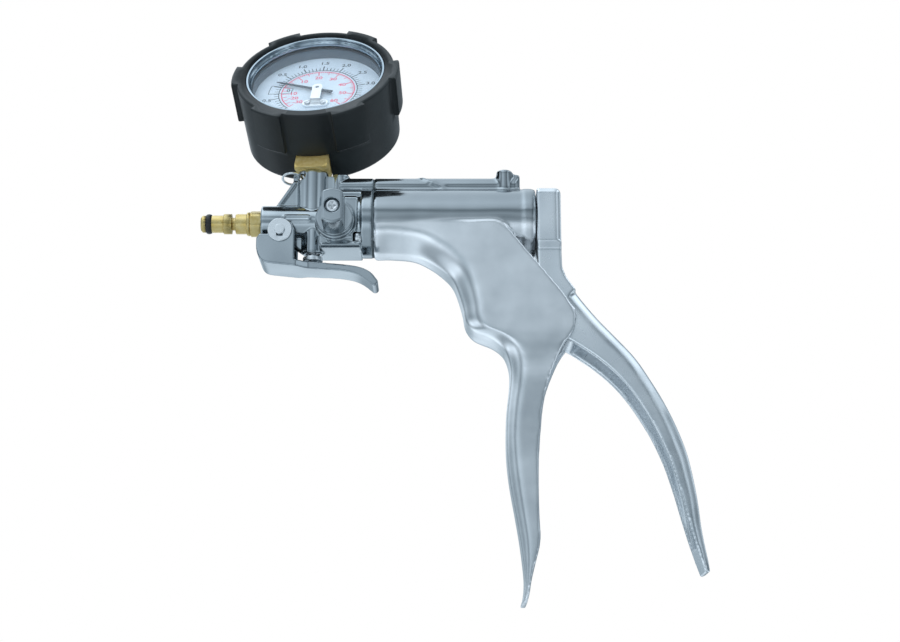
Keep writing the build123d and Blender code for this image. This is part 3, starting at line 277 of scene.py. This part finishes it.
def plated_steel():
    """Pressed and turned steel with bright zinc plating: smooth, a little milky, with fine grain."""
    made, tree, shader, place = finish("plated_steel", "#f2f5f7", 1.0, 0.3)
    grain = noise(tree, place, 0.6, 2.0)
    tree.links.new(between(tree, grain, 0.26, 0.36), shader.inputs["Roughness"])
    raise_surface(tree, shader, [(noise(tree, place, 9.0, 1.0), 0.12), (grain, 0.004)])
    return made


def turned_brass():
    """Free-cutting brass turned on a lathe: satin pale gold with faint tool rings and handling marks."""
    made, tree, shader, place = finish("turned_brass", "#dcc27c", 1.0, 0.34)
    marks = noise(tree, place, 3.0, 3.0)
    tree.links.new(blend_colours(tree, between(tree, marks, 0.0, 1.0), "#cdb169", "#ead59a"),
                   shader.inputs["Base Color"])
    tree.links.new(between(tree, marks, 0.3, 0.42), shader.inputs["Roughness"])
    rings = add(tree, "ShaderNodeTexWave", {"wave_type": "BANDS", "bands_direction": "X",
                                            "Scale": 1 / (0.45 * MM) / 6.283, "Distortion": 0.4},
                {"Vector": place}).outputs["Fac"]
    raise_surface(tree, shader, [(rings, 0.0012), (marks, 0.003)])
    return made


def sawn_brass():
    """Square brass bar of the gauge's socket, milled and left dull, where fine scratches scatter the light. Its
    base is paler and less metallic than the turned brass: painted light where the boot shades it.
    """
    made, tree, shader, place = finish("sawn_brass", "#e6cf86", 0.7, 0.55)
    marks = noise(tree, place, 2.0, 3.0)
    tree.links.new(blend_colours(tree, between(tree, marks, 0.0, 1.0), "#dfc577", "#efdc9c"),
                   shader.inputs["Base Color"])
    raise_surface(tree, shader, [(marks, 0.004)])
    return made


def moulded_rubber():
    """Compression-moulded black rubber: deep charcoal with a soft sheen and a fine pebbled skin."""
    made, tree, shader, place = finish("moulded_rubber", "#12181a", 0.0, 0.4,
                                       **{"Sheen Weight": 0.04, "Sheen Roughness": 0.4,
                                          "Specular IOR Level": 0.38})
    pebble = noise(tree, place, 0.5, 2.0)
    cloud = noise(tree, place, 18.0, 3.0)
    tree.links.new(blend_colours(tree, between(tree, cloud, 0.0, 1.0), "#0b1011", "#151d1f"),
                   shader.inputs["Base Color"])
    tree.links.new(between(tree, cloud, 0.34, 0.48), shader.inputs["Roughness"])
    raise_surface(tree, shader, [(pebble, 0.02), (noise(tree, place, 7.0), 0.12)])
    return made


def seal_rubber():
    """Nitrile rubber seals: matt black, with the faint dust that clings to grease."""
    made, tree, shader, place = finish("seal_rubber", "#141516", 0.0, 0.4)
    dust = noise(tree, place, 1.2, 3.0)
    tree.links.new(between(tree, dust, 0.3, 0.5), shader.inputs["Roughness"])
    raise_surface(tree, shader, [(dust, 0.01)])
    return made


def bright_chrome():
    """Spun steel ring, chromed: a clear mirror with fine grain in its roughness and faint waves in its face."""
    made, tree, shader, place = finish("bright_chrome", "#a9b6bf", 1.0, 0.16)
    grain = noise(tree, place, 0.8, 2.0)
    tree.links.new(between(tree, grain, 0.13, 0.2), shader.inputs["Roughness"])
    raise_surface(tree, shader, [(noise(tree, place, 12.0, 1.0), 0.06)])
    return made


def spacer_zinc():
    """Grey passivated ring that holds the window off the dial: a dull dark metal."""
    made, tree, shader, place = finish("spacer_zinc", "#5d6d78", 0.8, 0.5)
    raise_surface(tree, shader, [(noise(tree, place, 1.2), 0.004)])
    return made


def painted_case():
    """Black stoved enamel inside the gauge: dark, half-gloss, with slight orange peel."""
    made, tree, shader, place = finish("painted_case", "#2a3338", 0.0, 0.35)
    raise_surface(tree, shader, [(noise(tree, place, 1.0), 0.02)])
    return made


def dial_enamel():
    """White lacquered aluminium dial: cool white, satin, with barely seen roller texture."""
    made, tree, shader, place = finish("dial_enamel", "#b3c7d6", 0.0, 0.38)
    cloud = noise(tree, place, 8.0, 2.0)
    tree.links.new(blend_colours(tree, between(tree, cloud, 0.0, 1.0), "#aec3d3", "#b8cbda"),
                   shader.inputs["Base Color"])
    raise_surface(tree, shader, [(noise(tree, place, 0.4), 0.004)])
    return made


def printed_ink(name, colour):
    """Pad-printed ink: flat colour that thins a little where the pad lifted."""
    made, tree, shader, place = finish(name, colour, 0.0, 0.5)
    thin = noise(tree, place, 0.7, 2.0)
    pale = "#%02x%02x%02x" % tuple(min(255, THIN_INK + c) for c in bytes.fromhex(colour[1:]))
    tree.links.new(blend_colours(tree, between(tree, thin, 0.0, 0.6), colour, pale),
                   shader.inputs["Base Color"])
    return made


def pointer_paint():
    """Matt slate lacquer on the pressed pointer."""
    made, tree, shader, place = finish("pointer_paint", "#1f3240", 0.0, 0.45)
    raise_surface(tree, shader, [(noise(tree, place, 0.5), 0.004)])
    return made


def clear_lens():
    """Moulded clear window, thin and coated: nearly all light passes, and a trace of haze is left."""
    made, tree, shader, place = finish("clear_lens", "#dfe8ee", 0.0, 0.08, **{"Alpha": 0.06, "IOR": 1.49})
    tree.links.new(between(tree, noise(tree, place, 6.0), 0.06, 0.12), shader.inputs["Roughness"])
    return made


def gasket_fibre():
    """Thin compressed fibre gasket: dark, rough edge in the seam."""
    made, tree, shader, place = finish("gasket_fibre", "#46545b", 0.0, 0.6)
    raise_surface(tree, shader, [(noise(tree, place, 0.3), 0.02)])
    return made


def moulded_acetal():
    """Natural white acetal: waxy, faintly mottled."""
    made, tree, shader, place = finish("moulded_acetal", "#d9dad2", 0.0, 0.35, **{"Subsurface Weight": 0.05})
    raise_surface(tree, shader, [(noise(tree, place, 1.5), 0.01)])
    return made


def plain_floor():
    """Matt white paper sweep."""
    made, tree, shader, place = finish("plain_floor", "#eef0f1", 0.0, 0.8)
    raise_surface(tree, shader, [(noise(tree, place, 1.5), 0.05)])
    return made


BODY_ZINC = polished_zinc()
HANDLE_ZINC = tumbled_zinc()
HEAD_ZINC = buffed_zinc()
STEEL = plated_steel()
BRASS = turned_brass()
SOCKET_BRASS = sawn_brass()
BOOT_RUBBER = moulded_rubber()
SEALS = seal_rubber()
CHROME = bright_chrome()
SPACER = spacer_zinc()
CASE_PAINT = painted_case()
DIAL_WHITE = dial_enamel()
BLACK_INK = printed_ink("black_ink", "#1d2a35")
RED_INK = printed_ink("red_ink", "#c23058")
POINTER_PAINT = pointer_paint()
LENS = clear_lens()
GASKET = gasket_fibre()
ACETAL = moulded_acetal()

SLOT_MATERIAL = {
    "cast_metal": HEAD_ZINC, "bright_steel": STEEL, "bezel_chrome": CHROME, "steel_case": CASE_PAINT,
    "turned_brass": BRASS, "black_rubber": BOOT_RUBBER, "seal_rubber": SEALS, "gasket_fibre": GASKET,
    "moulded_plastic": ACETAL, "clear_lens": LENS, "dial_white": DIAL_WHITE, "pointer_black": POINTER_PAINT,
}


# ------------------------------------------------------------------ castings and machined pieces
CASTINGS = [
    # node, finish, voxel in mm, passes that relax its edges
    ("body_casting", BODY_ZINC, 0.69, 5),
    ("moving_handle", HANDLE_ZINC, 0.55, 5),
    ("head_casting", HEAD_ZINC, 0.36, 3),
    ("release_lever", HEAD_ZINC, 0.33, 3),
    ("change_over_knob", HEAD_ZINC, 0.2, 3),
]
CAST_NODES = [node for node, _, _, _ in CASTINGS]
for node, material, voxel_mm, passes in CASTINGS:
    cast(node, material, voxel_mm, passes)

OWN_FINISH = {"gauge_socket": SOCKET_BRASS, "lens_spacer": SPACER}
OTHERS = {node: machined(node, OWN_FINISH.get(node, SLOT_MATERIAL[SLOT_OF[node]]))
          for node in sorted(frame["nodes"]) if node not in CAST_NODES}


def close_spring(node):
    """The coil's piece gets a mesh of its own."""
    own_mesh(OTHERS[node])


close_spring("return_spring")
close_spring("release_spring")


# ------------------------------------------------------------------ print on the dial
INK_LIFT = 0.03         # mm above the dial
DIAL_FACE = 8.6         # mm from the pointer joint to the dial's face, along the dial's axis
RED_ARC = 17.2
BLACK_ARC = 18.5
RED_ZERO_TO_60 = 210.0  # degrees of sweep
VACUUM_SWEEP = 60.0
RED_FULL = 60           # last number of the red scale
VACUUM_FULL = 30        # last number of the red scale below zero
BLACK_FULL = 8.27       # half bars in the red scale's sweep
RED_NUMBERS = 12.0      # mm from the pointer's axis to the middle of the red numbers
BLACK_NUMBERS = 24.9
NUMBER_HEIGHT = 2.1
NUMBER_WIDTH = 1.12     # the numbers are a little wider than the font draws them
FONT_SIZE = 1.55        # font size for a number 1 mm high
WINDOW_DEG = (-1.0, 17.0)  # ends of the outlined window, from the zero


def scale_angle(value, full, sweep):
    """Angle on the dial, in degrees, of a scale value that runs clockwise from zero."""
    return ZERO_DEG - value / full * sweep


def flat_strip(parts):
    """Points and faces of flat quads, each given by four (x, y) corners in mm."""
    corners = np.array(parts, float).reshape(-1, 2)
    points = on_dial(corners[:, 0], corners[:, 1], DIAL_FACE + INK_LIFT)
    return points, np.arange(len(corners)).reshape(-1, 4)


def tick_quads(angles, inner, outer, width):
    """A thin radial bar at each angle: its corners are the two radii, half a width to each side."""
    quads = []
    for angle in angles:
        c, s = math.cos(math.radians(angle)), math.sin(math.radians(angle))
        side = np.array([-s, c]) * width / 2
        inner_end, outer_end = np.array([c, s]) * inner, np.array([c, s]) * outer
        quads.append([inner_end - side, outer_end - side, outer_end + side, inner_end + side])
    return quads


def arc_quads(start, end, radius, width, step=1.5):
    """Short quads that follow a circle from one angle to the other."""
    count = max(int(abs(end - start) / step), 1)
    turn = np.radians(np.linspace(start, end, count + 1))
    inner = np.stack([np.cos(turn), np.sin(turn)], -1) * (radius - width / 2)
    outer = np.stack([np.cos(turn), np.sin(turn)], -1) * (radius + width / 2)
    quads = [[inner[i], outer[i], outer[i + 1], inner[i + 1]] for i in range(count)]
    return quads if end > start else [q[::-1] for q in quads]


def print_on_dial(name, quads, ink):
    points, faces = flat_strip(quads)
    return put_mesh(name, points, faces, "pump_body", ink, smooth=False)


def dial_number(name, text, x, y, height, ink):
    """A plain number on the dial, centred on (x, y) mm, of that height in mm, upright."""
    curve = bpy.data.curves.new(name, "FONT")
    curve.body = text
    curve.align_x = "CENTER"
    curve.align_y = "CENTER"
    curve.size = height * FONT_SIZE
    curve.offset = 0.07     # a bold stroke
    curve.resolution_u = 3
    helper = bpy.data.objects.new(name + "_curve", curve)
    bpy.context.scene.collection.objects.link(helper)
    bpy.context.view_layer.update()
    mesh = bpy.data.meshes.new_from_object(helper.evaluated_get(bpy.context.evaluated_depsgraph_get()))
    bpy.data.objects.remove(helper)
    flat = np.zeros(len(mesh.vertices) * 3)
    mesh.vertices.foreach_get("co", flat)
    flat = flat.reshape(-1, 3)
    points = on_dial(flat[:, 0] * NUMBER_WIDTH + x, flat[:, 1] + y, DIAL_FACE + INK_LIFT)
    faces = [list(p.vertices) for p in mesh.polygons]
    bpy.data.meshes.remove(mesh)
    return put_mesh(name, points, faces, "pump_body", ink, smooth=False)


def print_number(name, text, angle, radius, ink, across=None):
    """A number at an angle on the dial; across is its radius sideways where the scale leaves it more room."""
    turn = math.radians(angle)
    dial_number(name, text, (across or radius) * math.cos(turn), radius * math.sin(turn), NUMBER_HEIGHT, ink)


def red_angle(value):
    return scale_angle(value, RED_FULL, RED_ZERO_TO_60)


def low_angle(share):
    """Angle of a share of the sweep below zero, which runs the other way."""
    return ZERO_DEG + VACUUM_SWEEP * share


def dial_print():
    """Red scale with ticks inwards, black scale with ticks outwards, their numbers and the zero's window."""
    start, end = red_angle(RED_FULL), low_angle(1)
    half_bar = RED_ZERO_TO_60 / BLACK_FULL

    red = arc_quads(start, end, RED_ARC, 0.5)
    for values, length, width in ((range(0, 61, 10), 3.2, 0.5), (range(5, 60, 10), 2.2, 0.4),
                                  ([v for v in range(1, 60) if v % 5], 1.1, 0.24)):
        red += tick_quads([red_angle(v) for v in values], RED_ARC - length, RED_ARC, width)
    red += tick_quads([low_angle(v / VACUUM_FULL) for v in range(5, 31, 5)], RED_ARC - 2.4, RED_ARC, 0.4)
    print_on_dial("dial_red_scale", red, RED_INK)

    black = arc_quads(start - 2, end + 2, BLACK_ARC, 0.42)
    for angles, length, width in (([ZERO_DEG - half_bar * k for k in range(9)], 3.8, 0.55),
                                  ([ZERO_DEG - half_bar * k / 5 for k in range(1, 41) if k % 5], 2.4, 0.36),
                                  ([low_angle(k / 10) for k in range(1, 11) if k % 5], 2.2, 0.34),
                                  ([low_angle(0.5), low_angle(1)], 3.8, 0.5)):
        black += tick_quads(angles, BLACK_ARC, BLACK_ARC + length, width)
    # small outlined window round the zero
    low, high = (ZERO_DEG + turn for turn in WINDOW_DEG)
    window_in, window_out = RED_ARC - 4.6, BLACK_ARC + 5.0
    for radius in (window_in, window_out):
        black += arc_quads(low, high, radius, 0.34)
    black += tick_quads([low, high], window_in, window_out, 0.34)
    print_on_dial("dial_black_scale", black, BLACK_INK)

    for value in range(10, RED_FULL + 1, 10):
        print_number(f"dial_red_number_{value}", str(value), red_angle(value), RED_NUMBERS, RED_INK)
    for value in range(10, VACUUM_FULL + 1, 10):
        print_number(f"dial_red_number_minus_{value}", f"-{value}", low_angle(value / VACUUM_FULL),
                     RED_NUMBERS, RED_INK, across=RED_NUMBERS + 0.2)
    print_number("dial_red_zero", "0", ZERO_DEG + sum(WINDOW_DEG) / 2, 14.4, BLACK_INK)
    for k in range(1, 8):
        print_number(f"dial_black_number_{k}", f"{k / 2:.1f}", ZERO_DEG - half_bar * k, BLACK_NUMBERS,
                     BLACK_INK)
    print_number("dial_black_number_low", "-0.5", low_angle(0.5), BLACK_NUMBERS, BLACK_INK)


dial_print()


# ------------------------------------------------------------------ floor, light and camera
def soft_box(name, place, aim, width, height, power, colour="#ffffff"):
    """Rectangular studio lamp at a place, turned to an aim point."""
    lamp = bpy.data.lights.new(name, "AREA")
    lamp.shape = "RECTANGLE"
    lamp.size = width
    lamp.size_y = height
    lamp.energy = power
    lamp.color = linear(colour)[:3]
    holder = bpy.data.objects.new(name, lamp)
    holder.location = place
    holder.rotation_euler = (Vector(aim) - Vector(place)).to_track_quat("-Z", "Y").to_euler()
    holder.visible_glossy = False
    bpy.context.scene.collection.objects.link(holder)


def studio_floor():
    """Flat sweep below the pump, which is held up clear of it."""
    half, middle, level = 3.0, 0.1, CAD_BOX[0].z - 0.125
    corners = [(-half, -half), (half, -half), (half, half), (-half, half)]
    mesh = bpy.data.meshes.new("floor")
    mesh.from_pydata([(x + middle, y, level) for x, y in corners], [], [(0, 1, 2, 3)])
    mesh.materials.append(plain_floor())
    floor = bpy.data.objects.new("floor", mesh)
    floor.visible_glossy = False
    bpy.context.scene.collection.objects.link(floor)


# The room seen in the metal: dim wall and lamp light, mixed by the share of lamp light in a direction.
ROOM_DIM, ROOM_LIT = "#4a5a63", "#deeaf4"
SIDE_DIM, SIDE_LIT = "#60676b", "#ffffff"
# by height, from straight down to straight up: floor, bright sweep, dim wall, pale wall, dark gap, lamps
ROOM_BANDS = [(-1.0, 0.4), (-0.6, 0.4), (-0.3, 0.8), (-0.1, 0.2), (0.1, 0.2), (0.3, 0.6), (0.5, 0.2),
              (0.65, 0.8), (0.85, 1.0), (1.0, 0.9)]
# to each side, from far left to far right: tall soft lamps with dim gaps between them
SIDE_BANDS = [(-1.0, 0.5), (-0.85, 1.0), (-0.65, 0.2), (-0.4, 1.0), (-0.2, 0.9), (0.0, 0.6), (0.3, 0.4),
              (0.45, 0.1), (0.7, 1.0), (0.9, 0.3), (1.0, 0.2)]


def band_ramp(tree, axis, direction, bands, dim, lit):
    """Colour ramp over one part of a direction, from -1 to 1, between the dim and the lit colour."""
    part = add(tree, "ShaderNodeSeparateXYZ", links={"Vector": direction}).outputs[axis]
    place = add(tree, "ShaderNodeMapRange", {"From Min": -1.0, "From Max": 1.0}, {"Value": part}).outputs[0]
    ramp = add(tree, "ShaderNodeValToRGB", links={"Fac": place})
    elements = ramp.color_ramp.elements
    elements.remove(elements[-1])
    elements[0].position = 0.0
    dark, bright = np.array(linear(dim)), np.array(linear(lit))
    elements[0].color = dark + (bright - dark) * bands[0][1]
    for level, share in bands[1:]:
        elements.new((level + 1) / 2).color = dark + (bright - dark) * share
    return ramp.outputs[0]


def studio_room():
    """Pale background to the camera and to matt surfaces; in reflections, soft bands as of a room with
    long lamps."""
    world = bpy.data.worlds.new("studio")
    world.use_nodes = True
    bpy.context.scene.world = world
    tree = world.node_tree
    tree.nodes.clear()
    direction = add(tree, "ShaderNodeTexCoord").outputs["Generated"]
    heights = band_ramp(tree, "Z", direction, ROOM_BANDS, ROOM_DIM, ROOM_LIT)
    sides = band_ramp(tree, "X", direction, SIDE_BANDS, SIDE_DIM, SIDE_LIT)
    seen_room = add(tree, "ShaderNodeMix", {"data_type": "RGBA", "blend_type": "MULTIPLY", 0: 1.0},
                    {6: heights, 7: sides}).outputs[2]
    room = add(tree, "ShaderNodeBackground", {"Strength": 2.1}, {"Color": seen_room})
    pale = add(tree, "ShaderNodeBackground", {"Color": (1, 1, 1, 1), "Strength": 1.0})
    light = add(tree, "ShaderNodeLightPath").outputs
    plain = add(tree, "ShaderNodeMath", {"operation": "MAXIMUM"},
                {0: light["Is Camera Ray"], 1: light["Is Diffuse Ray"]}).outputs[0]
    both = add(tree, "ShaderNodeMixShader", links={0: plain, 1: room.outputs[0], 2: pale.outputs[0]})
    add(tree, "ShaderNodeOutputWorld", links={"Surface": both.outputs[0]})


def studio_camera():
    """Camera in front of the pump, a little below it and looking up by 15 degrees."""
    look = math.radians(15)
    aim = Vector((102.6, 0, -45.6)) * MM
    distance = 0.8
    lens = bpy.data.cameras.new("camera")
    lens.sensor_width = 36.0
    lens.lens = 71.36
    lens.clip_start = 0.01
    camera = bpy.data.objects.new("camera", lens)
    camera.location = aim - Vector((0, math.cos(look), math.sin(look))) * distance
    camera.rotation_euler = (math.radians(90) + look, 0, 0)
    bpy.context.scene.collection.objects.link(camera)
    bpy.context.scene.camera = camera


studio_floor()
studio_room()
soft_box("key", (-0.35, -0.75, 0.75), (0.1, 0, 0), 0.5, 0.5, 5.0, "#f4f8ff")
soft_box("fill", (0.75, -0.6, 0.15), (0.1, 0, -0.05), 0.5, 0.7, 2.2, "#eaf2ff")
soft_box("top", (0.1, 0.1, 0.9), (0.1, 0, 0), 0.8, 0.4, 2.4)
studio_camera()
bpy.context.scene.view_settings.view_transform = "Standard"
